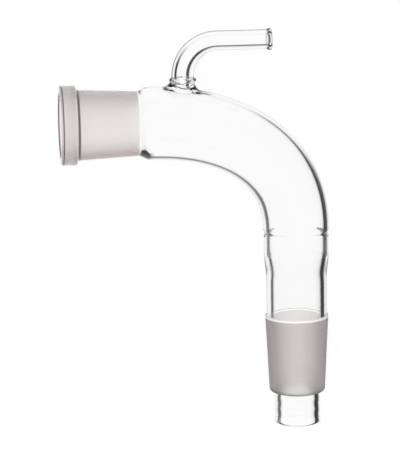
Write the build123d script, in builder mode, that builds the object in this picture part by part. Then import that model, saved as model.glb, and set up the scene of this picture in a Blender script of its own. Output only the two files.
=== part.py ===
from build123d import *
import os

# Ground joints, one standard taper for the socket and the cone
joint_diameter = 24.0
joint_length = 29.0
taper_share = 0.1

# Socket, from its thickened rim to the main tube
rim_height = 1.35
rim_length = 6.1
rim_round = 0.7
rim_root_round = 0.6
mouth_round = 0.5
socket_wall = 1.55
shoulder_length = 4.0

# Main tube and the hand-drawn bend, which narrow evenly towards the leg
tube_diameter = 27.6
tube_wall = 1.35
bend_reach = 55.25
bend_drop = 42.1
bend_end_wall = 1.5

# How far each end of the bend runs on before it turns, of its reach and of its drop
bend_tube_share = 0.596
bend_leg_share = 0.643

# Butt seal that joins the leg to the bend: a groove outside and a bead inside
seal_length = 2.6
seal_step = 0.2
seal_groove = 0.35
seal_bead = 0.6

# Leg, necked in above the cone
leg_diameter = 24.5
leg_wall = 1.55
leg_length = 7.2
neck_length = 9.0
neck_wall = 1.9
neck_tube_length = 14.3

# Ground cone and the drip tip below it
cone_step = 0.55
cone_wall = 2.0
foot_length = 0.7
foot_round = 1.4
tip_step = 1.95
tip_root_round = 0.3
tip_wall = 1.35
tip_length = 12.15
tip_round_share = 0.4

# Side arm for the vacuum hose, fused to the tube where the bend begins
arm_root_diameter = 8.6
arm_diameter = 7.4
arm_wall = 1.2
arm_offset = 13.15
arm_rise = 3.4
arm_bend_reach = 13.0
arm_bend_height = 13.15
arm_length = 20.5
arm_root_round = 2.3
arm_bore_round = 1.8
arm_seal_height = 2.1
arm_seal_bead = 0.8
lip_height = 0.4
lip_length = 1.9
lip_round_share = 0.4
lip_bore_round = 0.4

# How far a cutter runs past the face it opens
overrun = 1.0

# Radii
joint_radius = joint_diameter / 2
joint_small_radius = joint_radius - joint_length * taper_share / 2
rim_radius = joint_radius + socket_wall + rim_height
rim_root_radius = joint_radius + socket_wall - rim_length * taper_share / 2
tube_radius = tube_diameter / 2
tube_bore_radius = tube_radius - tube_wall
leg_radius = leg_diameter / 2
bend_end_radius = leg_radius + seal_step
bend_end_bore_radius = bend_end_radius - bend_end_wall
neck_radius = joint_radius - cone_step
neck_bore_radius = neck_radius - neck_wall
foot_radius = joint_small_radius - foot_length * taper_share / 2
tip_radius = joint_small_radius - tip_step
tip_round = tip_wall * tip_round_share
arm_root_radius = arm_root_diameter / 2
arm_radius = arm_diameter / 2
lip_radius = arm_radius + lip_height
lip_round = lip_length * lip_round_share

# Stations along the socket axis and down the leg axis, from where the two axes cross
shoulder_end = -bend_reach
ground_end = shoulder_end - shoulder_length
mouth = ground_end - joint_length
seal_middle = -bend_drop - seal_length / 2
seal_end = -bend_drop - seal_length
leg_end = seal_end - leg_length
neck_end = leg_end - neck_length
cone_top = neck_end - neck_tube_length
cone_end = cone_top - joint_length
foot_end = cone_end - foot_length
tip_end = foot_end - tip_length
arm_foot = shoulder_end + arm_offset
arm_bend_end = arm_foot + arm_bend_reach
arm_end = arm_bend_end + arm_length
arm_bend_start = tube_radius + arm_rise
arm_height = arm_bend_start + arm_bend_height

# The adapter lies on its side, its box centred on the origin and its rim on the ground
crossing_x = -(mouth + bend_end_radius) / 2
crossing_y = -(arm_height + lip_radius + tip_end) / 2
flat = Plane(origin=(crossing_x, crossing_y, rim_radius))
socket_axis = Axis(flat.origin, flat.x_dir)
leg_axis = Axis(flat.origin, flat.y_dir)
arm_axis = Axis(flat.from_local_coords((0, arm_height, 0)), flat.x_dir)
arm_rise_axis = Axis(flat.from_local_coords((arm_foot, 0, 0)), flat.y_dir)

# Section planes square to the ends of the narrowing tube and of the arm's bend
bend_bottom = Plane(flat.from_local_coords((0, -bend_drop, 0)), x_dir=flat.x_dir, z_dir=flat.y_dir)
tube_start = Plane(flat.from_local_coords((shoulder_end, 0, 0)), x_dir=flat.y_dir, z_dir=flat.x_dir)
arm_root = Plane(flat.from_local_coords((arm_foot, 0, 0)), x_dir=flat.x_dir, z_dir=flat.y_dir)
arm_turn = arm_root.offset(arm_bend_start)
arm_straight = Plane(
    flat.from_local_coords((arm_bend_end, arm_height, 0)), x_dir=-flat.y_dir, z_dir=flat.x_dir
)

# Turns of the arm's bend, and directions for the ends of the drawn curves
quarter_turn = 90
half_turn = 180
along = (1, 0)
down = (0, -1)
along_taper = (1, -taper_share / 2)

with BuildPart() as glass_adapter:
    # Outside of the socket, from its rim to the shoulder
    with BuildSketch(flat):
        with BuildLine():
            socket_centre = Line((shoulder_end, 0), (mouth, 0))
            rim = FilletPolyline(
                socket_centre @ 1,
                (mouth, rim_radius),
                (mouth + rim_length, rim_radius),
                (mouth + rim_length, rim_root_radius),
                (ground_end, joint_small_radius + socket_wall),
                radius=(rim_round, rim_round, rim_root_round),
            )
            shoulder = Spline(rim @ 1, (shoulder_end, tube_radius), tangents=(along_taper, along))
            Line(shoulder @ 1, socket_centre @ 0)
        make_face()
    revolve(axis=socket_axis)

    # Outside of the bend, swept from the leg up to the shoulder
    with BuildLine(flat) as tube_path:
        Bezier(
            (0, -bend_drop),
            (0, bend_drop * bend_leg_share - bend_drop),
            (shoulder_end - shoulder_end * bend_tube_share, 0),
            (shoulder_end, 0),
        )
    with BuildSketch(bend_bottom):
        Circle(bend_end_radius)
    with BuildSketch(tube_start):
        Circle(tube_radius)
    sweep(path=tube_path.wire(), multisection=True)

    # Outside of the leg, from the butt seal to the drip tip
    with BuildSketch(flat):
        with BuildLine():
            seal_top = Line((0, -bend_drop), (bend_end_radius, -bend_drop))
            seal = Spline(
                seal_top @ 1,
                (leg_radius - seal_groove, seal_middle),
                (leg_radius, seal_end),
                tangents=(down, down),
            )
            leg = Line(seal @ 1, (leg_radius, leg_end))
            neck = Spline(leg @ 1, (neck_radius, neck_end), tangents=(down, down))
            step = Polyline(neck @ 1, (neck_radius, cone_top), (joint_radius, cone_top))
            cone = FilletPolyline(
                step @ 1,
                (foot_radius, foot_end),
                (tip_radius, foot_end),
                (tip_radius, tip_end),
                radius=(foot_round, tip_root_round),
            )
            Polyline(cone @ 1, (0, tip_end), seal_top @ 0)
        make_face()
    revolve(axis=leg_axis)

    # Root of the side arm, rounded where it is fused to the tube
    with BuildSketch(arm_root):
        Circle(arm_root_radius)
    extrude(amount=arm_bend_start)
    fillet(glass_adapter.edges(Select.NEW), arm_root_round)

    # The arm narrows round its bend, then runs straight to its end
    with BuildLine(flat) as arm_path:
        EllipticalCenterArc(
            (arm_bend_end, arm_bend_start),
            arm_bend_reach,
            arm_bend_height,
            start_angle=half_turn,
            arc_size=-quarter_turn,
        )
    with BuildSketch(arm_turn):
        Circle(arm_root_radius)
    with BuildSketch(arm_straight):
        Circle(arm_radius)
    sweep(path=arm_path.wire(), multisection=True)
    with BuildSketch(arm_straight):
        Circle(arm_radius)
    extrude(amount=arm_length)

    # Bead round the seam between the arm and its root
    with BuildSketch(flat):
        with Locations((arm_foot + arm_root_radius, tube_radius + arm_seal_height)):
            Circle(arm_seal_bead)
    revolve(axis=arm_rise_axis)

    # Lip at the end of the arm, which keeps the hose on
    with BuildSketch(flat):
        with BuildLine():
            lip = FilletPolyline(
                (arm_end - lip_length, arm_height),
                (arm_end - lip_length, arm_height + lip_radius),
                (arm_end, arm_height + lip_radius),
                (arm_end, arm_height),
                radius=lip_round,
            )
            Line(lip @ 1, lip @ 0)
        make_face()
    revolve(axis=arm_axis)

    # Ground bore of the socket, opening out into the tube
    with BuildSketch(flat):
        with BuildLine():
            bore = Polyline(
                (shoulder_end, 0),
                (mouth, 0),
                (mouth, joint_radius),
                (ground_end, joint_small_radius),
            )
            throat = Spline(bore @ 1, (shoulder_end, tube_bore_radius), tangents=(along_taper, along))
            Line(throat @ 1, bore @ 0)
        make_face()
    revolve(axis=socket_axis, mode=Mode.SUBTRACT)
    fillet(glass_adapter.edges().group_by(Axis.X)[0].sort_by(SortBy.LENGTH)[0], mouth_round)

    # Inside of the bend
    with BuildSketch(bend_bottom):
        Circle(bend_end_bore_radius)
    with BuildSketch(tube_start):
        Circle(tube_bore_radius)
    sweep(path=tube_path.wire(), multisection=True, mode=Mode.SUBTRACT)

    # Inside of the leg, with the seal's bead, down through the cone and the tip
    with BuildSketch(flat):
        with BuildLine():
            bead_top = Line((0, -bend_drop), (bend_end_bore_radius, -bend_drop))
            bead = Spline(
                bead_top @ 1,
                (bend_end_bore_radius - seal_bead, seal_middle),
                (leg_radius - leg_wall, seal_end),
                tangents=(down, down),
            )
            leg_bore = Line(bead @ 1, (leg_radius - leg_wall, leg_end))
            throat = Spline(leg_bore @ 1, (neck_bore_radius, neck_end), tangents=(down, down))
            Polyline(
                throat @ 1,
                (neck_bore_radius, cone_top),
                (joint_small_radius - cone_wall, cone_end),
                (tip_radius - tip_wall, foot_end),
                (tip_radius - tip_wall, tip_end),
                (0, tip_end),
                (0, -bend_drop),
            )
        make_face()
    revolve(axis=leg_axis, mode=Mode.SUBTRACT)
    fillet(glass_adapter.edges().group_by(Axis.Y)[0], tip_round)

    # Bore of the side arm, rounded where it opens into the tube and at the lip
    with BuildSketch(arm_root):
        Circle(arm_root_radius - arm_wall)
    extrude(amount=arm_bend_start, mode=Mode.SUBTRACT)
    fillet(glass_adapter.edges(Select.NEW), arm_bore_round)
    with BuildSketch(arm_turn):
        Circle(arm_root_radius - arm_wall)
    with BuildSketch(arm_straight):
        Circle(arm_radius - arm_wall)
    sweep(path=arm_path.wire(), multisection=True, mode=Mode.SUBTRACT)
    with BuildSketch(arm_straight):
        Circle(arm_radius - arm_wall)
    extrude(amount=arm_length + overrun, mode=Mode.SUBTRACT)
    fillet(glass_adapter.edges(Select.NEW), lip_bore_round)

os.makedirs("parts", exist_ok=True)
glass_adapter.part.label = "glass_adapter"
export_step(glass_adapter.part, "parts/glass_adapter.step")
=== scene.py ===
import math

import bmesh
import bpy
import numpy as np
from mathutils import Matrix, Vector


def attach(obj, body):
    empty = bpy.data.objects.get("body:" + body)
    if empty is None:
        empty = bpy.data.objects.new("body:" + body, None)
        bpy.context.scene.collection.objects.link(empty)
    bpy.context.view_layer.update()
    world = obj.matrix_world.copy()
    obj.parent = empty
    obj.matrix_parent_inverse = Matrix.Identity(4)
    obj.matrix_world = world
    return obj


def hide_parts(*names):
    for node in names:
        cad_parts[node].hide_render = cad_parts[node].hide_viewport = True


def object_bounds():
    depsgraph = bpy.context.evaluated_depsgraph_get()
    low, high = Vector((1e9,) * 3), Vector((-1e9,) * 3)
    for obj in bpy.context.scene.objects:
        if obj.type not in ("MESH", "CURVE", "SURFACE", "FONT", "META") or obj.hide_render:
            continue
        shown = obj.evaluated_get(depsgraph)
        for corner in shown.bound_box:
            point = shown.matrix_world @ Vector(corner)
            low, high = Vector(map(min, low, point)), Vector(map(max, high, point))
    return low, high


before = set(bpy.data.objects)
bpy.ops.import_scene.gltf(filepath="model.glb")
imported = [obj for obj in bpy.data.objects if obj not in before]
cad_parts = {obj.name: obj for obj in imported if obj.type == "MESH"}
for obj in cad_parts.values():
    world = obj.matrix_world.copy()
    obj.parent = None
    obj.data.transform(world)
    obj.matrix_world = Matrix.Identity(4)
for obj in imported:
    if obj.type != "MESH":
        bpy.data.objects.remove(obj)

cad_lo, cad_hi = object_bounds()

# Sizes of the glass in millimetres, as in the part's source
JOINT_R = 12.0
JOINT_SMALL_R = 10.55
RIM_R = 14.9
RIM_LENGTH = 6.1
RIM_ROUND = 0.7
RIM_ROOT_ROUND = 0.6
MOUTH_ROUND = 0.5
SOCKET_WALL = 1.55
TAPER = 0.05
TUBE_R = 13.8
TUBE_BORE_R = 12.45
BEND_DROP = 42.1
BEND_TUBE_SHARE = 0.596
BEND_LEG_SHARE = 0.643
BEND_END_R = 12.45
BEND_END_BORE_R = 10.95
SEAL_GROOVE = 0.35
SEAL_BEAD = 0.6
LEG_R = 12.25
LEG_BORE_R = 10.7
NECK_R = 11.45
NECK_BORE_R = 9.55
CONE_WALL = 2.0
CONE_EDGE_ROUND = 0.2
CONE_POLISH = 0.8
FOOT_ROUND = 1.4
TIP_ROOT_ROUND = 0.3
TIP_R = 8.6
TIP_BORE_R = 7.25
TIP_ROUND = 0.54
ARM_ROOT_R = 4.3
ARM_R = 3.7
ARM_WALL = 1.2
ARM_BEND_START = 17.2
ARM_BEND_REACH = 13.0
ARM_BEND_HEIGHT = 13.15
ARM_HEIGHT = ARM_BEND_START + ARM_BEND_HEIGHT
ARM_ROOT_ROUND = 2.3
ARM_SEAL = 15.9
ARM_SEAL_BEAD = 0.8
ARM_BORE_ROUND = 1.8
LIP_R = 4.1
LIP_LENGTH = 1.9
LIP_ROUND = 0.76
LIP_BORE_ROUND = 0.4

# Stations along the socket axis (x) and the leg axis (y), from where the two axes cross
MOUTH = -88.25
GROUND_END = -59.25
SHOULDER_END = -55.25
SEAL_MIDDLE = -43.4
SEAL_END = -44.7
LEG_END = -51.9
NECK_END = -60.9
CONE_TOP = -75.2
CONE_END = -104.2
FOOT_END = -104.9
TIP_END = -117.05
ARM_FOOT = -42.1
ARM_END = -8.6

# Fineness of the mesh
AROUND = 96
TUBE_STEPS = 78
HOLE_FROM, HOLE_TO = 4, 23
HOLE_HALF = 11
CREASE = 0.15
BEND_SAMPLES = 2001
ROOT_SAMPLES = 401
HALVINGS = 40

# Softness that the flame has left, in millimetres apart from the shares and the turns
SHOULDER_DIP = 0.2
SHOULDER_EASE = 4.1
FRONT_SHARE = 0.2
ROOT_DRAWN_TO_BEND = 1.8
ROOT_DRAWN_TO_SOCKET = 1.0
TIP_WAVE = 0.04
TIP_WAVE_HALF_TURNS = 5.6
TIP_WAVE_START = 0.9

# Where dark lines of painted shade go: the rim's edges, the mouth, the arm's seam, its lip and its
# root
RIM_EDGE = 0.35
MOUTH_BACK_RINGS = range(3, 8)
MOUTH_FRONT_FROM = 8
SEAM_HEIGHT = 0.45
SEAM_SLANT = 0.95
SEAM_GAP = 0.05
SEAM_CLEAR_FROM = 0.1
LIP_RINGS = range(3, 6)
LIP_BORE_STATIONS = (1.25, 0.9, LIP_BORE_ROUND)
STREAK_LEVEL = (8, 16.5)
STREAK_BESIDE = (5, 11)
STREAK_FRONT = 0.2
STREAK_WIDTH = 4.1
STREAK_NARROWING = 0.3

# Material of each zone of the surface, as indices of the piece's slots; the dark edge and seam
# zones are painted shade, and the bevel zone is a painted highlight
TUBE, NECK, TIP, ARM, SOCKET, RIM, BORE, SEAM_SHADE, SHADE_EDGE, BEVEL_HIGHLIGHT, GROUND_SOCKET, GROUND_CONE = range(12)

MM = 0.001
CROSSING = Vector((cad_lo.x - MOUTH * MM, cad_lo.y - TIP_END * MM, cad_lo.z + RIM_R * MM))


def line(p, q, steps):
    t = np.linspace(0, 1, steps + 1)[:, None]
    return (1 - t) * np.array(p, float) + t * np.array(q, float)


def arc(centre, radius, start, end, steps):
    t = np.radians(np.linspace(start, end, steps + 1))
    return np.array(centre, float) + radius * np.stack([np.cos(t), np.sin(t)], 1)


def ease(p, q, leaving, arriving, steps):
    """A smooth curve from p to q that leaves and arrives in the given directions."""
    p, q = np.array(p, float), np.array(q, float)
    chord = np.linalg.norm(q - p)
    t = np.linspace(0, 1, steps + 1)[:, None]
    out = (2 * t**3 - 3 * t**2 + 1) * p + (3 * t**2 - 2 * t**3) * q
    out += (t**3 - 2 * t**2 + t) * chord * np.array(leaving, float)
    out += (t**3 - t**2) * chord * np.array(arriving, float)
    return out


def joined(*runs):
    """Runs of points end to end, with the shared end points once."""
    return np.concatenate([runs[0]] + [run[1:] for run in runs[1:]])


# Middle of the tube, from the shoulder round to the seal, and the length along it
BEND_PULLS = np.array(
    [
        (SHOULDER_END, 0),
        (SHOULDER_END * (1 - BEND_TUBE_SHARE), 0),
        (0, -BEND_DROP * (1 - BEND_LEG_SHARE)),
        (0, -BEND_DROP),
    ]
)
bend_steps = np.linspace(0, 1, BEND_SAMPLES)


def bend_curve(t):
    """Middle of the bend and its direction, which is not of unit length."""
    t = np.asarray(t, float)[..., None]
    p, q, r, e = BEND_PULLS
    middle = (1 - t) ** 3 * p + 3 * t * (1 - t) ** 2 * q + 3 * t**2 * (1 - t) * r + t**3 * e
    return middle, (1 - t) ** 2 * (q - p) + 2 * t * (1 - t) * (r - q) + t**2 * (e - r)


bend_mid = bend_curve(bend_steps)[0]
bend_run = np.concatenate([[0], np.cumsum(np.linalg.norm(np.diff(bend_mid, axis=0), axis=1))])
TUBE_RUN = bend_run[-1]


def tube_middle(run):
    """Middle and outward direction of the tube's section, in the plane of the two axes."""
    middle, along = bend_curve(np.interp(run, bend_run, bend_steps))
    outward = np.stack([-along[..., 1], along[..., 0]], -1)
    return middle, outward / np.linalg.norm(outward, axis=-1, keepdims=True)


def drawn_in(run):
    """How far the flame has drawn the tube in where it leaves the shoulder."""
    return SHOULDER_DIP * np.maximum(1 - np.asarray(run) / SHOULDER_EASE, 0) ** 2


def outer_radius(run):
    return TUBE_R + (BEND_END_R - TUBE_R) * np.asarray(run) / TUBE_RUN - drawn_in(run)


def bore_radius(run):
    narrowed = (BEND_END_BORE_R - TUBE_BORE_R) * np.asarray(run) / TUBE_RUN
    return TUBE_BORE_R + narrowed - drawn_in(run)


def tube_point(run, angle, radius_at):
    middle, outward = tube_middle(run)
    radius = radius_at(run)
    flat = middle + (radius * np.cos(angle))[..., None] * outward
    return np.concatenate([flat, (radius * np.sin(angle))[..., None]], -1)


def tube_under(x, z, radius_at):
    """Run and angle of the point on the tube's upper side that lies at x and z."""
    low, high = np.zeros_like(x), np.full_like(x, TUBE_RUN / 2)
    for _ in range(HALVINGS):
        run = (low + high) / 2
        angle = np.arcsin(np.clip(z / radius_at(run), -1, 1))
        short = tube_point(run, angle, radius_at)[..., 0] < x
        low, high = np.where(short, run, low), np.where(short, high, run)
    return run, angle


# Rings of the closed surface: down the outside from mouth to tip, then back up the bore
rings = []


def socket_rings(points, zone):
    for x, radius in points:
        rings.append(((x, 0.0), (0.0, 1.0), radius, radius, zone))


def leg_rings(points, zone):
    for y, radius in points:
        rings.append(((0.0, y), (1.0, 0.0), radius, radius, zone))


def seal_rings(points, zone):
    """Rings of the butt seal, which the flame has smoothed most at the front and the back."""
    (first, first_r), (last, last_r) = points[0], points[-1]
    for y, radius in points[:-1]:
        even = first_r + (last_r - first_r) * (y - first) / (last - first)
        rings.append(((0.0, y), (1.0, 0.0), radius, even + FRONT_SHARE * (radius - even), zone))


def tube_rings(steps, radius_at, zone):
    first = len(rings)
    for run in steps * TUBE_RUN / TUBE_STEPS:
        middle, outward = tube_middle(run)
        rings.append((tuple(middle), tuple(outward), *[float(radius_at(run))] * 2, zone))
    return first


rim_back = MOUTH + RIM_LENGTH
rim_root_r = JOINT_R + SOCKET_WALL - RIM_LENGTH * TAPER
taper_start = (rim_back + RIM_ROOT_ROUND, rim_root_r - RIM_ROOT_ROUND * TAPER)
mouth_bore = (MOUTH + MOUTH_ROUND, JOINT_R - MOUTH_ROUND * TAPER)
mouth_centre = (mouth_bore[0], mouth_bore[1] + MOUTH_ROUND)
rim_front = arc((MOUTH + RIM_ROUND, RIM_R - RIM_ROUND), RIM_ROUND, 180, 90, 9)
# Painted shade: the mouth's rounding gets the dark edge
socket_rings(arc(mouth_centre, MOUTH_ROUND, -90, -180, 6)[:-1], SHADE_EDGE)
socket_rings(line((MOUTH, mouth_centre[1]), rim_front[0], 3)[:-1], RIM)
first_front = len(rings)
socket_rings(rim_front[:-1], RIM)
socket_rings(line(rim_front[-1], (MOUTH + RIM_ROUND + RIM_EDGE, RIM_R), 2)[:-1], RIM)
last_front = len(rings)
socket_rings(
    joined(
        line((MOUTH + RIM_ROUND + RIM_EDGE, RIM_R), (rim_back - RIM_ROUND, RIM_R), 6),
        arc((rim_back - RIM_ROUND, RIM_R - RIM_ROUND), RIM_ROUND, 90, 0, 9),
        line((rim_back, RIM_R - RIM_ROUND), (rim_back, taper_start[1] + RIM_ROOT_ROUND), 2),
    )[:-1],
    RIM,
)
rim_root = arc((taper_start[0], taper_start[1] + RIM_ROOT_ROUND), RIM_ROOT_ROUND, 180, 270, 8)
taper_end = (GROUND_END, JOINT_SMALL_R + SOCKET_WALL)
taper_edge = (taper_start[0] + RIM_EDGE, taper_start[1] - RIM_EDGE * TAPER)
# Painted shade: the rim's root gets the dark edge
socket_rings(joined(rim_root, line(taper_start, taper_edge, 1))[:-1], SHADE_EDGE)
socket_rings(line(taper_edge, taper_end, 14)[:-1], SOCKET)
socket_rings(
    ease(
        taper_end,
        (SHOULDER_END, TUBE_R - SHOULDER_DIP),
        (1, 2 * TAPER),
        (1, 2 * SHOULDER_DIP / SHOULDER_EASE),
        10,
    )[:-1],
    TUBE,
)
outer_tube = tube_rings(np.arange(TUBE_STEPS), outer_radius, TUBE)
foot_slope = math.degrees(math.atan(TAPER))
foot_centre = (
    FOOT_END + FOOT_ROUND,
    JOINT_R + (FOOT_END + FOOT_ROUND - CONE_TOP) * TAPER - FOOT_ROUND * math.hypot(1, TAPER),
)
foot_curve = arc(foot_centre, FOOT_ROUND, 90 + foot_slope, 180, 10)
polish_end = (CONE_TOP - CONE_POLISH, JOINT_R - CONE_POLISH * TAPER)
seal_rings(
    joined(
        ease((-BEND_DROP, BEND_END_R), (SEAL_MIDDLE, LEG_R - SEAL_GROOVE), (-1, 0), (-1, 0), 6),
        ease((SEAL_MIDDLE, LEG_R - SEAL_GROOVE), (SEAL_END, LEG_R), (-1, 0), (-1, 0), 6),
    ),
    TUBE,
)
leg_rings(line((SEAL_END, LEG_R), (LEG_END, LEG_R), 6)[:-1], TUBE)
leg_rings(
    joined(
        ease((LEG_END, LEG_R), (NECK_END, NECK_R), (-1, 0), (-1, 0), 10),
        line((NECK_END, NECK_R), (CONE_TOP + CREASE, NECK_R), 8),
    )[:-1],
    NECK,
)
# Painted highlight: the front of the cone's top edge and polish band is white
first_bevel = len(rings)
leg_rings(
    joined(
        line((CONE_TOP + CREASE, NECK_R), (CONE_TOP, NECK_R), 1),
        line((CONE_TOP, NECK_R), (CONE_TOP, JOINT_R - CONE_EDGE_ROUND), 3),
        arc((CONE_TOP - CONE_EDGE_ROUND, JOINT_R - CONE_EDGE_ROUND), CONE_EDGE_ROUND, 0, 90, 5),
        line((CONE_TOP - CONE_EDGE_ROUND, JOINT_R), polish_end, 2),
    )[:-1],
    BEVEL_HIGHLIGHT,
)
last_bevel = len(rings)
leg_rings(joined(line(polish_end, foot_curve[0], 16), foot_curve)[:-1], GROUND_CONE)
# Painted shade: the foot's flat end and the tip's root get the dark edge
leg_rings(
    joined(
        line(foot_curve[-1], (FOOT_END, TIP_R + TIP_ROOT_ROUND), 1),
        arc((FOOT_END - TIP_ROOT_ROUND, TIP_R + TIP_ROOT_ROUND), TIP_ROOT_ROUND, 0, -90, 4),
    )[:-1],
    SHADE_EDGE,
)
tip_side = line((FOOT_END - TIP_ROOT_ROUND, TIP_R), (TIP_END + TIP_ROUND, TIP_R), 48)
tip_bore = line((TIP_END + TIP_ROUND, TIP_BORE_R), (FOOT_END - CREASE, TIP_BORE_R), 48)
for run in (tip_side, tip_bore):
    # Slow waves of the hand-drawn tip, which die out at both of its ends
    share = (run[:, 0] - TIP_END) / (FOOT_END - TIP_END)
    wave = TIP_WAVE * np.cos(share * TIP_WAVE_HALF_TURNS * math.pi - TIP_WAVE_START)
    run[:, 1] += wave * np.sin(share * math.pi) ** 0.5
leg_rings(tip_side[:-1], TIP)
first_tip_end = len(rings)
leg_rings(
    joined(
        arc((TIP_END + TIP_ROUND, TIP_R - TIP_ROUND), TIP_ROUND, 90, 180, 6),
        line((TIP_END, TIP_R - TIP_ROUND), (TIP_END, TIP_BORE_R + TIP_ROUND), 1),
        arc((TIP_END + TIP_ROUND, TIP_BORE_R + TIP_ROUND), TIP_ROUND, 180, 270, 6),
    )[:-1],
    TIP,
)
last_tip_end = len(rings)
leg_rings(
    joined(
        tip_bore,
        line((FOOT_END - CREASE, TIP_BORE_R), (FOOT_END, TIP_BORE_R), 1),
        line((FOOT_END, TIP_BORE_R), (CONE_END, JOINT_SMALL_R - CONE_WALL), 3),
        line((CONE_END, JOINT_SMALL_R - CONE_WALL), (CONE_TOP, NECK_BORE_R), 30),
        line((CONE_TOP, NECK_BORE_R), (NECK_END, NECK_BORE_R), 8),
        ease((NECK_END, NECK_BORE_R), (LEG_END, LEG_BORE_R), (1, 0), (1, 0), 10),
        line((LEG_END, LEG_BORE_R), (SEAL_END, LEG_BORE_R), 6),
    )[:-1],
    BORE,
)
bead_top = (SEAL_MIDDLE, BEND_END_BORE_R - SEAL_BEAD)
seal_rings(
    joined(
        ease((SEAL_END, LEG_BORE_R), bead_top, (1, 0), (1, 0), 6),
        ease(bead_top, (-BEND_DROP, BEND_END_BORE_R), (1, 0), (1, 0), 6),
    ),
    BORE,
)
bore_tube = tube_rings(np.arange(TUBE_STEPS, 0, -1), bore_radius, BORE)
socket_rings(
    ease(
        (SHOULDER_END, TUBE_BORE_R - SHOULDER_DIP),
        (GROUND_END, JOINT_SMALL_R),
        (-1, -2 * SHOULDER_DIP / SHOULDER_EASE),
        (-1, -2 * TAPER),
        10,
    )[:-1],
    BORE,
)
socket_rings(line((GROUND_END, JOINT_SMALL_R), mouth_bore, 18)[:-1], GROUND_SOCKET)

verts = []
for (x, y), (nx, ny), side_radius, front_radius, _ in rings:
    for k in range(AROUND):
        angle = 2 * math.pi * k / AROUND
        radius = front_radius + (side_radius - front_radius) * math.cos(angle) ** 2
        out = radius * math.cos(angle)
        verts.append((x + out * nx, y + out * ny, radius * math.sin(angle)))


def ring_vertex(ring, k):
    return (ring % len(rings)) * AROUND + k % AROUND


def hole_rings(step):
    """Rings of the outside and of the bore at a step along the tube."""
    return outer_tube + step, bore_tube + TUBE_STEPS - step


def in_hole(ring, k):
    beside = (k + HOLE_HALF) % AROUND < 2 * HOLE_HALF
    outside = outer_tube + HOLE_FROM <= ring < outer_tube + HOLE_TO
    inside = bore_tube + TUBE_STEPS - HOLE_TO <= ring < bore_tube + TUBE_STEPS - HOLE_FROM
    return beside and (outside or inside)


# Faces whose zone differs from that of their ring
special = {}
# Painted shade on the edge of the mouth, where the eye sees through the whole rim
for ring in range(first_front, last_front):
    for k in range(AROUND):
        front = k < AROUND // 2
        step = ring - first_front
        dark = step >= MOUTH_FRONT_FROM if front else step in MOUTH_BACK_RINGS
        if dark:
            special[ring, k] = SHADE_EDGE
# The backs of the cone's bevel and of the tip's end, which get neither the painted highlight nor a
# painted dark line
for ring in (*range(first_bevel, last_bevel), *range(first_tip_end, last_tip_end)):
    for k in range(AROUND // 2, AROUND):
        special[ring, k] = BORE

faces = []
zones = []
for ring in range(len(rings)):
    for k in range(AROUND):
        if not in_hole(ring, k):
            a, b = ring_vertex(ring, k), ring_vertex(ring + 1, k)
            faces.append((a, b, ring_vertex(ring + 1, k + 1), ring_vertex(ring, k + 1)))
            zones.append(special.get((ring, k), rings[ring][-1]))

# Steps along the tube and angles round it of the hole's edge, in order round the side arm
edge_steps = [(s, -HOLE_HALF) for s in range(HOLE_FROM, HOLE_TO)]
edge_steps += [(HOLE_TO, k) for k in range(-HOLE_HALF, HOLE_HALF)]
edge_steps += [(s, HOLE_HALF) for s in range(HOLE_TO, HOLE_FROM, -1)]
edge_steps += [(HOLE_FROM, k) for k in range(HOLE_HALF, -HOLE_HALF, -1)]
edge_runs = np.array([s for s, _ in edge_steps]) * TUBE_RUN / TUBE_STEPS
edge_angles = np.array([k for _, k in edge_steps]) * 2 * math.pi / AROUND
side_steps = HOLE_TO - HOLE_FROM
quarter = math.pi / 2
round_arm = np.concatenate(
    [
        -1.5 * quarter + quarter * np.arange(side_steps) / side_steps,
        -0.5 * quarter + quarter * np.arange(2 * HOLE_HALF) / (2 * HOLE_HALF),
        0.5 * quarter + quarter * np.arange(side_steps) / side_steps,
        1.5 * quarter + quarter * np.arange(2 * HOLE_HALF) / (2 * HOLE_HALF),
    ]
)
ARM_AROUND = len(round_arm)


def add_loop(points):
    first = len(verts)
    verts.extend(tuple(p) for p in points)
    return list(range(first, first + ARM_AROUND))


def bridge(low, high, zone):
    for k in range(ARM_AROUND):
        after = (k + 1) % ARM_AROUND
        faces.append((low[k], low[after], high[after], high[k]))
        zones.append(zone)


def swollen(away, level, bead):
    """Distance from the arm's axis, swollen by the seam's bead, least at the front and the back."""
    bulge = np.sqrt(np.maximum(bead**2 - (level - ARM_SEAL) ** 2, 0))
    bulge *= FRONT_SHARE + (1 - FRONT_SHARE) * np.cos(round_arm) ** 2
    return np.where(bulge > 0, np.maximum(away, ARM_ROOT_R + bulge), away)


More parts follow.
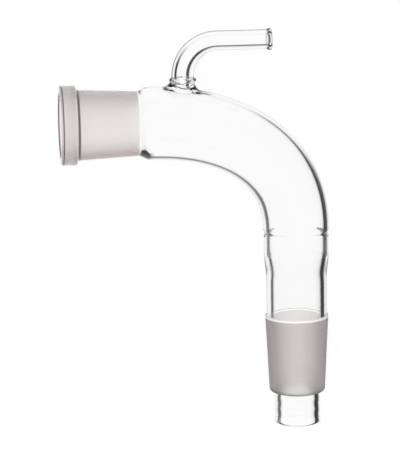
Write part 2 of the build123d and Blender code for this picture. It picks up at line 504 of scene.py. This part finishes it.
def root(radius, rounding, radius_at, patch_steps, round_steps, bead, edge_loop, patch_zone, zone):
    """Loops from the hole's edge over the tube's surface and up the rounded root of the arm."""
    reach = radius + rounding
    out = radius + 2 * rounding[:, None] * np.linspace(0, 1, ROOT_SAMPLES)
    x = ARM_FOOT + out * np.cos(round_arm)[:, None]
    z = out * np.sin(round_arm)[:, None]
    run, angle = tube_under(x, z, radius_at)
    height = tube_point(run, angle, radius_at)[..., 1]
    ball = height + np.sqrt(np.maximum(rounding[:, None] ** 2 - (out - reach[:, None]) ** 2, 0))
    touch = ball.argmax(1)
    rows = np.arange(ARM_AROUND)
    centre = ball[rows, touch]
    foot_run, foot_angle = run[rows, touch], angle[rows, touch]
    loops = [edge_loop]
    for share in np.linspace(0, 1, patch_steps + 1)[1:]:
        on_run = edge_runs + share * (foot_run - edge_runs)
        on_angle = edge_angles + share * (foot_angle - edge_angles)
        loops.append(add_loop(tube_point(on_run, on_angle, radius_at)))
    start = np.arctan2(height[rows, touch] - centre, out[rows, touch] - reach)
    for share in np.linspace(0, 1, round_steps + 1)[1:]:
        turn = start + share * (-math.pi - start)
        level = centre + rounding * np.sin(turn)
        away = swollen(reach + rounding * np.cos(turn), level, bead)
        loops.append(
            add_loop(
                np.stack(
                    [ARM_FOOT + away * np.cos(round_arm), level, away * np.sin(round_arm)], 1
                )
            )
        )
    for k, (low, high) in enumerate(zip(loops, loops[1:])):
        bridge(low, high, patch_zone if k < patch_steps else zone)
    return loops[-1], centre


def arm_loop(x, y, turn, radius):
    """A ring of the arm round a point, square to the arm's direction there."""
    across = radius * np.cos(round_arm)
    return np.stack(
        [x + across * math.cos(turn), y - across * math.sin(turn), radius * np.sin(round_arm)], 1
    )


def arm_run(thinner, last, level, end, rise_steps, turn_steps, straight_steps, bead, zone):
    """Loops up the arm from its root, round its bend and along to a station near its end."""
    for share in np.linspace(0, 1, rise_steps + 1)[1:]:
        height = level + share * (ARM_BEND_START - level)
        ring = arm_loop(ARM_FOOT, 0, 0, swollen(ARM_ROOT_R - thinner, height, bead))
        ring[:, 1] = height
        after = add_loop(ring)
        bridge(last, after, zone)
        last = after
    centre_x = ARM_FOOT + ARM_BEND_REACH
    for share in np.linspace(0, 1, turn_steps + 1)[1:]:
        x = centre_x - ARM_BEND_REACH * math.cos(share * quarter)
        y = ARM_BEND_START + ARM_BEND_HEIGHT * math.sin(share * quarter)
        turn = math.atan2(
            ARM_BEND_REACH * math.sin(share * quarter), ARM_BEND_HEIGHT * math.cos(share * quarter)
        )
        radius = ARM_ROOT_R + share * (ARM_R - ARM_ROOT_R) - thinner
        after = add_loop(arm_loop(x, y, turn, radius))
        bridge(last, after, zone)
        last = after
    for x in np.linspace(centre_x, end, straight_steps + 1)[1:]:
        after = add_loop(arm_loop(x, ARM_HEIGHT, quarter, ARM_R - thinner))
        bridge(last, after, zone)
        last = after
    return last


def hole_edge(side):
    return [ring_vertex(hole_rings(s)[side], k) for s, k in edge_steps]


ARM_BORE_R = ARM_R - ARM_WALL
lip_back = math.degrees(math.asin((ARM_R - (LIP_R - LIP_ROUND)) / LIP_ROUND))
lip_start = ARM_END - LIP_LENGTH + LIP_ROUND * (1 - math.cos(math.radians(lip_back)))
# The flame has drawn the root out along the tube, most on the side of the bend
drawn = np.where(np.cos(round_arm) > 0, ROOT_DRAWN_TO_BEND, ROOT_DRAWN_TO_SOCKET)
drawn *= np.cos(round_arm) ** 2
outer_root, outer_level = root(
    ARM_ROOT_R, ARM_ROOT_ROUND + drawn, outer_radius, 5, 24, ARM_SEAL_BEAD, hole_edge(0), TUBE, ARM
)
last = arm_run(0, outer_root, outer_level, lip_start - CREASE, 16, 24, 12, ARM_SEAL_BEAD, ARM)
bore_rounding = np.full(ARM_AROUND, ARM_BORE_ROUND)
bore_root, bore_level = root(
    ARM_ROOT_R - ARM_WALL, bore_rounding, bore_radius, 7, 12, 0, hole_edge(1), BORE, BORE
)
# The seam of the fused arm shows inside it as a slanting ring, with painted shade making it dark on
# the socket's side
seam_low = np.maximum(
    ARM_SEAL - SEAM_HEIGHT - SEAM_SLANT * np.sin(round_arm), bore_level + SEAM_GAP
)
seam_high = seam_low + SEAM_HEIGHT
for level, zone in ((seam_low, BORE), (seam_high, SEAM_SHADE)):
    ring = arm_loop(ARM_FOOT, 0, 0, ARM_ROOT_R - ARM_WALL)
    ring[:, 1] = level
    after = add_loop(ring)
    bridge(bore_root, after, zone)
    bore_root = after
for k in range(ARM_AROUND):
    if math.cos(round_arm[k] + quarter / ARM_AROUND) > SEAM_CLEAR_FROM:
        zones[k - ARM_AROUND] = BORE
bore_last = arm_run(
    ARM_WALL, bore_root, seam_high, ARM_END - LIP_BORE_STATIONS[0], 4, 24, 13, 0, BORE
)
for inset in LIP_BORE_STATIONS[1:]:
    after = add_loop(arm_loop(ARM_END - inset, ARM_HEIGHT, quarter, ARM_BORE_R))
    bridge(bore_last, after, BORE)
    bore_last = after
lip_points = joined(
    arc((ARM_END - LIP_LENGTH + LIP_ROUND, LIP_R - LIP_ROUND), LIP_ROUND, 180 - lip_back, 90, 5),
    line((ARM_END - LIP_LENGTH + LIP_ROUND, LIP_R), (ARM_END - LIP_ROUND, LIP_R), 1),
    arc((ARM_END - LIP_ROUND, LIP_R - LIP_ROUND), LIP_ROUND, 90, 0, 8),
    line((ARM_END, LIP_R - LIP_ROUND), (ARM_END, ARM_BORE_R + LIP_BORE_ROUND), 2),
    arc((ARM_END - LIP_BORE_ROUND, ARM_BORE_R + LIP_BORE_ROUND), LIP_BORE_ROUND, 0, -90, 5),
)
for k, (x, radius) in enumerate(lip_points[:-1]):
    after = add_loop(arm_loop(x, ARM_HEIGHT, quarter, radius))
    bridge(last, after, ARM)
    # Painted shade: the lip's upper side gets the dark edge
    if k in LIP_RINGS:
        for side in range(ARM_AROUND):
            if math.sin(round_arm[side]) > 0:
                zones[side - ARM_AROUND] = SHADE_EDGE
    last = after
bridge(last, bore_last, BORE)

# Painted shade: a dark streak along the top of the tube, where the drawn-out root ends
for k in range(len(faces)):
    if zones[k] in (TUBE, ARM):
        x, y, z = np.mean([verts[v] for v in faces[k]], 0)
        beside = x - ARM_FOOT
        level_with = STREAK_LEVEL[0] < y < STREAK_LEVEL[1]
        next_to = STREAK_BESIDE[0] < beside < STREAK_BESIDE[1]
        in_front = STREAK_FRONT < z < STREAK_WIDTH - STREAK_NARROWING * beside
        if level_with and next_to and in_front:
            zones[k] = SHADE_EDGE


# Painted shade in clear glass: grey at shares of a tube's radius from its middle, for each way its
# wall looks, which paints the dark wall lines into the colour
TUBE_HIGH = [(0.0, 1.0), (0.93, 0.98), (0.965, 0.92), (1.0, 0.88)]
TUBE_SIDE = [
    (0.0, 1.0), (0.6, 0.985), (0.73, 0.95), (0.8, 0.88), (0.825, 0.66), (0.839, 0.33),
    (0.848, 0.05), (0.853, 0.0), (0.933, 0.0), (0.945, 0.15), (0.953, 0.33), (0.967, 0.75),
    (0.985, 0.88), (1.0, 0.8),
]
TUBE_LEFT = [
    (0.0, 1.0), (0.6, 0.985), (0.73, 0.96), (0.79, 0.9), (0.808, 0.78), (0.821, 0.5), (0.833, 0.1),
    (0.84, 0.0), (0.888, 0.0), (0.9, 0.2), (0.9127, 0.5), (0.925, 0.85), (0.945, 0.93),
    (0.985, 0.88), (1.0, 0.8),
]
TUBE_SLIM = [
    (0.0, 1.0), (0.6, 0.985), (0.73, 0.96), (0.82, 0.9), (0.846, 0.7), (0.858, 0.33), (0.866, 0.0),
    (0.89, 0.0), (0.9, 0.33), (0.912, 0.75), (0.93, 0.92), (0.965, 0.97), (1.0, 0.9),
]
TUBE_UNDER = [
    (0.0, 1.0), (0.6, 0.985), (0.73, 0.96), (0.79, 0.9), (0.808, 0.78), (0.821, 0.5), (0.833, 0.2),
    (0.84, 0.12), (0.888, 0.12), (0.9, 0.3), (0.9127, 0.6), (0.925, 0.85), (0.945, 0.93),
    (0.985, 0.88), (1.0, 0.8),
]
TUBE_SHOULDER_SHADE = [
    (0.0, 1.0), (0.5, 0.97), (0.66, 0.85), (0.7, 0.3), (0.72, 0.0), (0.97, 0.0), (1.0, 0.3),
]
NECK_HIGH = [(0.0, 1.0), (0.8, 0.92), (0.92, 0.95), (0.97, 0.9), (1.0, 0.65)]
NECK_SIDE = [
    (0.0, 1.0), (0.55, 0.97), (0.66, 0.93), (0.73, 0.86), (0.77, 0.74), (0.8, 0.38), (0.818, 0.06),
    (0.828, 0.0), (0.898, 0.0), (0.91, 0.15), (0.923, 0.5), (0.94, 0.84), (0.955, 0.9),
    (0.985, 0.6), (1.0, 0.5),
]
NECK_LEFT = [
    (0.0, 1.0), (0.55, 0.97), (0.66, 0.95), (0.72, 0.92), (0.75, 0.87), (0.77, 0.7), (0.785, 0.28),
    (0.795, 0.0), (0.836, 0.0), (0.85, 0.2), (0.864, 0.5), (0.88, 0.84), (0.9, 0.93), (0.95, 0.9),
    (0.985, 0.6), (1.0, 0.5),
]
TIP_SIDE = [
    (0.0, 1.0), (0.6, 0.97), (0.7, 0.88), (0.745, 0.68), (0.775, 0.3), (0.795, 0.0), (0.922, 0.0),
    (0.938, 0.3), (0.955, 0.75), (0.97, 0.9), (1.0, 0.7),
]
TIP_LEFT = [
    (0.0, 1.0), (0.65, 0.97), (0.715, 0.9), (0.745, 0.6), (0.765, 0.15), (0.775, 0.0), (0.858, 0.0),
    (0.875, 0.2), (0.9, 0.7), (0.925, 0.9), (1.0, 0.75),
]
ARM_HIGH = [
    (0.0, 1.0), (0.6, 0.98), (0.88, 0.95), (0.915, 0.65), (0.945, 0.15), (0.97, 0.3), (1.0, 0.7),
]
ARM_SIDE = [
    (0.0, 1.0), (0.5, 0.99), (0.535, 0.85), (0.555, 0.25), (0.57, 0.04), (0.7, 0.04), (0.715, 0.3),
    (0.75, 0.85), (0.8, 0.94), (0.88, 0.88), (0.915, 0.3), (0.95, 0.1), (0.975, 0.35), (1.0, 0.7),
]
ARM_RIGHT = [
    (0.0, 1.0), (0.5, 0.99), (0.535, 0.85), (0.555, 0.3), (0.57, 0.07), (0.7, 0.07), (0.715, 0.35),
    (0.75, 0.9), (0.8, 0.96), (0.94, 0.96), (0.98, 0.75), (1.0, 0.8),
]
ARM_UNDER = [
    (0.0, 1.0), (0.56, 0.98), (0.6, 0.6), (0.62, 0.14), (0.67, 0.14), (0.69, 0.45), (0.75, 0.88),
    (0.8, 0.95), (0.94, 0.96), (0.98, 0.85), (1.0, 0.9),
]
SOCKET_HIGH = [
    (0.0, 0.94), (0.2, 0.92), (0.38, 0.9), (0.5, 0.875), (0.62, 0.83), (0.735, 0.79), (0.82, 0.78),
    (0.9, 0.83), (1.0, 0.8),
]
SOCKET_SIDE = [(0.0, 0.95), (0.8, 0.95), (1.0, 0.8)]
SOCKET_UNDER = [
    (0.0, 0.95), (0.44, 0.99), (0.74, 1.0), (0.79, 0.96), (0.85, 0.8), (0.95, 0.6), (1.0, 0.5),
]
RIM_HIGH = [(0.0, 0.9), (0.6, 0.85), (0.85, 0.78), (1.0, 0.72)]
RIM_UNDER = [(0.0, 0.9), (0.6, 0.87), (0.85, 0.75), (1.0, 0.62)]
# Powers that tint a grey, and colours of the ground glass from facing to grazing, darker towards
# grazing as painted shade
PINK = (0.8, 1.15, 1.15)
GRIND_STOPS = [(0.3, (0.93, 0.93, 0.93)), (0.7, (1.0, 1.0, 1.0))]
SOCKET_TONE_AND_SHADE = [(0.0, (1.0, 0.965, 0.96)), (0.5, (0.96, 0.915, 0.91)), (1.0, (0.86, 0.81, 0.8))]
CONE_TONE_AND_SHADE = [
    (0.0, (0.79, 0.735, 0.735)), (0.03, (0.75, 0.695, 0.695)), (0.083, (0.67, 0.617, 0.617)),
    (0.178, (0.59, 0.54, 0.54)), (0.317, (0.49, 0.445, 0.445)), (0.564, (0.54, 0.49, 0.49)),
    (1.0, (0.56, 0.51, 0.51)),
]
# Shares between which the painted dark line moves on the underside of the tube and on the arm
TUBE_MOVED = (0.935, 0.866)
ARM_MOVED = (0.47, 0.655)

GLASS_IOR = 1.47
SPREAD_POWER = 0.25
WALL_REFLECTION = 0.25


def principled(name):
    material = bpy.data.materials.new(name)
    material.use_nodes = True
    return material, material.node_tree, material.node_tree.nodes["Principled BSDF"]


def ramp(tree, value, stops):
    node = tree.nodes.new("ShaderNodeValToRGB")
    tree.links.new(value, node.inputs["Fac"])
    elements = node.color_ramp.elements
    while len(elements) < len(stops):
        elements.new(0.5)
    for element, (at, colour) in zip(elements, stops):
        element.position = at
        element.color = (*colour, 1)
    return node.outputs["Color"]


def reflected(share):
    """Fresnel reflection of a ray that meets a tube at this share of its radius from its middle."""
    cos_out = math.sqrt(max(1 - share**2, 0))
    cos_in = math.sqrt(1 - (share / GLASS_IOR) ** 2)
    across = (cos_out - GLASS_IOR * cos_in) / (cos_out + GLASS_IOR * cos_in)
    within = (GLASS_IOR * cos_out - cos_in) / (GLASS_IOR * cos_out + cos_in)
    return (across**2 + within**2) / 2


def spread(share):
    """Where a share of the radius falls once the reflection is spread out over a ramp."""
    return (reflected(share) - reflected(0)) ** SPREAD_POWER


def clear_glass(
    name, high, side, under, other, moved=(0, 0), tint=(1, 1, 1), slim=None, shoulder_shade=None
):
    """Clear glass with painted shade, darker where the eye looks along its wall, given at shares of
    its radius.
    """
    material, tree, shader = principled(name)
    fresnel = tree.nodes.new("ShaderNodeFresnel")
    fresnel.inputs["IOR"].default_value = GLASS_IOR
    grazing = tree.nodes.new("ShaderNodeMath")
    grazing.operation = "SUBTRACT"
    grazing.use_clamp = True
    grazing.inputs[1].default_value = reflected(0)
    tree.links.new(fresnel.outputs["Fac"], grazing.inputs[0])
    spaced = tree.nodes.new("ShaderNodeMath")
    spaced.operation = "POWER"
    spaced.inputs[1].default_value = SPREAD_POWER
    tree.links.new(grazing.outputs[0], spaced.inputs[0])
    move = tree.nodes.new("ShaderNodeAttribute")
    move.attribute_name = "moved"
    shift = tree.nodes.new("ShaderNodeMath")
    shift.operation = "MULTIPLY_ADD"
    shift.inputs[1].default_value = spread(moved[1]) - spread(moved[0])
    tree.links.new(move.outputs["Fac"], shift.inputs[0])
    tree.links.new(spaced.outputs[0], shift.inputs[2])
    wall = None
    looks = [
        (side, None),
        (other, "turned"),
        (slim, "slim"),
        (under, "under"),
        (high, "high"),
        (shoulder_shade, "shoulder_shade"),
    ]
    for stops, attribute in looks:
        if stops is None or (stops is side and attribute):
            continue
        shades = [(spread(at), tuple(grey**t for t in tint)) for at, grey in stops]
        colour = ramp(tree, shift.outputs[0], shades)
        if attribute:
            share = tree.nodes.new("ShaderNodeAttribute")
            share.attribute_name = attribute
            mix = tree.nodes.new("ShaderNodeMix")
            mix.data_type = "RGBA"
            tree.links.new(share.outputs["Fac"], mix.inputs["Factor"])
            tree.links.new(wall, mix.inputs[6])
            tree.links.new(colour, mix.inputs[7])
            colour = mix.outputs[2]
        wall = colour
    tree.links.new(wall, shader.inputs["Base Color"])
    shader.inputs["Specular Tint"].default_value = (*[WALL_REFLECTION] * 3, 1)
    shader.inputs["Roughness"].default_value = 0.0
    shader.inputs["IOR"].default_value = GLASS_IOR
    shader.inputs["Transmission Weight"].default_value = 1.0
    return material


def plain_glass(name, grey, roughness=0.0, clearness=1.0):
    material, _, shader = principled(name)
    shader.inputs["Base Color"].default_value = (grey, grey * 0.99, grey * 0.99, 1)
    shader.inputs["Roughness"].default_value = roughness
    shader.inputs["IOR"].default_value = GLASS_IOR
    shader.inputs["Transmission Weight"].default_value = clearness
    return material


def ground_glass(name, along, stops):
    """Frosted glass with the fine marks of the grinding, which run round the joint's axis, and
    painted shade that darkens it from facing to grazing.
    """
    material, tree, shader = principled(name)
    weight = tree.nodes.new("ShaderNodeLayerWeight")
    weight.inputs["Blend"].default_value = 0.5
    place = tree.nodes.new("ShaderNodeTexCoord")
    stretch = tree.nodes.new("ShaderNodeMapping")
    stretch.inputs["Scale"].default_value = [3.0 if axis == along else 0.15 for axis in range(3)]
    tree.links.new(place.outputs["Object"], stretch.inputs["Vector"])
    marks = tree.nodes.new("ShaderNodeTexNoise")
    marks.inputs["Scale"].default_value = 900.0
    marks.inputs["Detail"].default_value = 3.0
    tree.links.new(stretch.outputs["Vector"], marks.inputs["Vector"])
    grain = tree.nodes.new("ShaderNodeTexNoise")
    grain.inputs["Scale"].default_value = 2600.0
    grain.inputs["Detail"].default_value = 2.0
    tree.links.new(place.outputs["Object"], grain.inputs["Vector"])
    both = tree.nodes.new("ShaderNodeMath")
    both.operation = "ADD"
    tree.links.new(marks.outputs["Fac"], both.inputs[0])
    tree.links.new(grain.outputs["Fac"], both.inputs[1])
    shade = tree.nodes.new("ShaderNodeMix")
    shade.data_type = "RGBA"
    shade.blend_type = "MULTIPLY"
    shade.inputs["Factor"].default_value = 1.0
    tree.links.new(ramp(tree, weight.outputs["Facing"], stops), shade.inputs["A"])
    half = tree.nodes.new("ShaderNodeMath")
    half.operation = "MULTIPLY"
    half.inputs[1].default_value = 0.5
    tree.links.new(both.outputs[0], half.inputs[0])
    tree.links.new(ramp(tree, half.outputs[0], GRIND_STOPS), shade.inputs["B"])
    tree.links.new(shade.outputs["Result"], shader.inputs["Base Color"])
    bump = tree.nodes.new("ShaderNodeBump")
    bump.inputs["Strength"].default_value = 0.3
    bump.inputs["Distance"].default_value = 0.00004
    tree.links.new(half.outputs[0], bump.inputs["Height"])
    tree.links.new(bump.outputs["Normal"], shader.inputs["Normal"])
    shader.inputs["Roughness"].default_value = 0.55
    shader.inputs["IOR"].default_value = GLASS_IOR
    shader.inputs["Transmission Weight"].default_value = 1.0
    return material


mesh = bpy.data.meshes.new("blown_glass")
mesh.from_pydata([CROSSING + Vector(v) * MM for v in verts], [], faces)
# The clear glass materials paint their dark wall lines into the colour as shade
for material in (
    clear_glass(
        "clear_tube",
        TUBE_HIGH,
        TUBE_SIDE,
        TUBE_UNDER,
        TUBE_LEFT,
        TUBE_MOVED,
        slim=TUBE_SLIM,
        shoulder_shade=TUBE_SHOULDER_SHADE,
    ),
    clear_glass("clear_neck", NECK_HIGH, NECK_SIDE, NECK_SIDE, NECK_LEFT),
    clear_glass("clear_tip", NECK_HIGH, TIP_SIDE, TIP_SIDE, TIP_LEFT),
    clear_glass("clear_arm", ARM_HIGH, ARM_SIDE, ARM_UNDER, ARM_RIGHT, ARM_MOVED),
    clear_glass("clear_socket", SOCKET_HIGH, SOCKET_SIDE, SOCKET_UNDER, SOCKET_SIDE, tint=PINK),
    clear_glass("clear_rim", RIM_HIGH, RIM_UNDER, RIM_UNDER, RIM_UNDER, tint=PINK),
    plain_glass("clear_bore", 0.998),
    # Painted shade: the seam ring's dark grey
    plain_glass("seam", 0.12),
    # Painted shade: near-black glass for the dark lines
    plain_glass("painted_shade_edge", 0.035),
    # Painted highlight: the white of the bevel
    plain_glass("painted_highlight_bevel", 1.0, 0.5, 0.6),
    ground_glass("ground_socket", 0, SOCKET_TONE_AND_SHADE),
    ground_glass("ground_cone", 1, CONE_TONE_AND_SHADE),
):
    mesh.materials.append(material)
mesh.polygons.foreach_set("material_index", zones)
mesh.polygons.foreach_set("use_smooth", [True] * len(faces))
shell = bmesh.new()
shell.from_mesh(mesh)
bmesh.ops.recalc_face_normals(shell, faces=shell.faces)
shell.to_mesh(mesh)
shell.free()

# How much of each painted shade look a point of the outside takes, from the way it faces and where
# it lies: the tops of the tube and the arm are painted paler, as lit from above
arm_points = set()
for face in mesh.polygons:
    if face.material_index == ARM:
        arm_points.update(face.vertices)
high, under, turned, moved, slim, shoulder_shade = np.zeros((6, len(mesh.vertices)))
for k, vertex in enumerate(mesh.vertices):
    x, y, _ = vertex.normal
    level = math.hypot(x, y) + 1e-6
    x, y = x / level, y / level
    if k in arm_points:
        high[k] = np.interp(y, (0.35, 0.6, 0.75, 1), (0, 0.5, 0.92, 1))
        turned[k] = max(x, 0) ** 2 + 0.45 * max(-y, 0) ** 2
        under[k] = np.interp(-y, (0.75, 0.98), (0, 1))
        if vertex.co.x > CROSSING.x + (ARM_END - LIP_LENGTH) * MM:
            high[k] = turned[k] = under[k] = 0
        moved[k] = turned[k]
    else:
        # Painted shade: the top of the tube gets no dark line, apart from a painted dark stretch
        # beside the arm's root
        low = np.interp(y, (0, 0.5, 0.6, 0.71, 0.82, 0.9, 1), (1, 1, 0.95, 0.8, 0.68, 0.15, 0.03))
        beside = (vertex.co.x - CROSSING.x) / MM - ARM_FOOT
        shaded = np.interp(beside, (3.5, 4.5, 6.3, 8, 11, 14), (0, 1, 1, 0.45, 0.15, 0))
        if y <= 0:
            shaded = 0
        if y > 0 and beside < SHOULDER_END + SHOULDER_EASE - ARM_FOOT:
            low = 0
        down = (vertex.co.y - CROSSING.y) / MM
        leg = (LEG_END - 1, LEG_END + 2, SEAL_END - 1, SEAL_END + 1)
        paler = np.interp(down, leg, (0, 0.1, 0.1, 0))
        high[k] = 1 - max((0.93 + 0.07 * x - paler) * low, shaded)
        under[k] = max(np.interp(-y, (0.4, 0.95), (0, 1)), min(3 * shaded, 1))
        moved[k] = under[k]
        slim[k] = np.interp(y, (0.25, 0.42, 0.57, 0.71), (0, 0.2, 0.7, 1)) if x > 0 else 0
        turned[k] = max(-x, 0)
        # Painted shade: a dark patch under the shoulder
        from_ground = beside + ARM_FOOT - GROUND_END
        shoulder_shade[k] = np.interp(from_ground, (0.2, 0.5, 3.6, 5.5), (0, 1, 1, 0)) if y < -0.6 else 0
for name, values in (
    ("high", high),
    ("under", under),
    ("turned", turned),
    ("moved", moved),
    ("slim", slim),
    ("shoulder_shade", shoulder_shade),
):
    mesh.attributes.new(name, "FLOAT", "POINT").data.foreach_set("value", values)
glass = bpy.data.objects.new("blown_glass", mesh)
bpy.context.collection.objects.link(glass)
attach(glass, "root")
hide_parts("glass_adapter")


def seen_white(tree, white_share):
    """White for what the camera sees, also in and through the glass, and plain for the light."""
    path = tree.nodes.new("ShaderNodeLightPath")
    seen = path.outputs["Is Camera Ray"]
    for other in ("Is Glossy Ray", "Is Transmission Ray"):
        either = tree.nodes.new("ShaderNodeMath")
        either.operation = "MAXIMUM"
        tree.links.new(seen, either.inputs[0])
        tree.links.new(path.outputs[other], either.inputs[1])
        seen = either.outputs[0]
    part = tree.nodes.new("ShaderNodeMath")
    part.operation = "MULTIPLY"
    part.inputs[1].default_value = white_share
    tree.links.new(seen, part.inputs[0])
    return part.outputs[0]


# White table, which keeps a little of the shadow
TABLE_SIZE = 6.0
TABLE_WHITE = 0.95
bpy.ops.mesh.primitive_plane_add(size=TABLE_SIZE, location=(0, 0, cad_lo.z))
table = bpy.context.object
table.name = "table"
table_material, tree, shader = principled("table")
shader.inputs["Base Color"].default_value = (0.9, 0.9, 0.9, 1)
shader.inputs["Roughness"].default_value = 0.9
glow = tree.nodes.new("ShaderNodeEmission")
glow.inputs["Color"].default_value = (1, 1, 1, 1)
mix = tree.nodes.new("ShaderNodeMixShader")
tree.links.new(seen_white(tree, TABLE_WHITE), mix.inputs["Fac"])
tree.links.new(shader.outputs[0], mix.inputs[1])
tree.links.new(glow.outputs[0], mix.inputs[2])
tree.links.new(mix.outputs[0], tree.nodes["Material Output"].inputs["Surface"])
table.data.materials.append(table_material)

world = bpy.data.worlds.new("studio")
bpy.context.scene.world = world
world.use_nodes = True
tree = world.node_tree
background = tree.nodes["Background"]
background.inputs["Color"].default_value = (1, 1, 1, 1)
background.inputs["Strength"].default_value = 1.0

lamp_data = bpy.data.lights.new("softbox", "AREA")
lamp_data.energy = 4.0
lamp_data.size = 0.6
lamp = bpy.data.objects.new("softbox", lamp_data)
lamp.location = (-0.3, 0.35, 0.7)
lamp.rotation_euler = Vector(lamp.location).to_track_quat("Z", "Y").to_euler()
lamp.visible_glossy = False
lamp.visible_transmission = False
bpy.context.collection.objects.link(lamp)

# Camera, fitted to the photograph's outline, whose longer side is its height
SENSOR = 36.0
FOCAL_PIXELS = 2942.5
IMAGE_HEIGHT = 457
EYE = Vector((-105.44, 218.655, 1095.1)) * MM
camera_data = bpy.data.cameras.new("camera")
camera_data.sensor_width = SENSOR
camera_data.lens = SENSOR * FOCAL_PIXELS / IMAGE_HEIGHT
camera = bpy.data.objects.new("camera", camera_data)
right = Vector((0.99475, -0.01422, 0.10132))
up = Vector((0.03383, 0.98031, -0.19455))
forward = Vector((0.09656, -0.19696, -0.97565))
axes = Matrix((right, up, -forward)).transposed().to_4x4()
camera.matrix_world = Matrix.Translation(EYE) @ axes
bpy.context.collection.objects.link(camera)
bpy.context.scene.camera = camera
bpy.context.scene.view_settings.view_transform = "Standard"
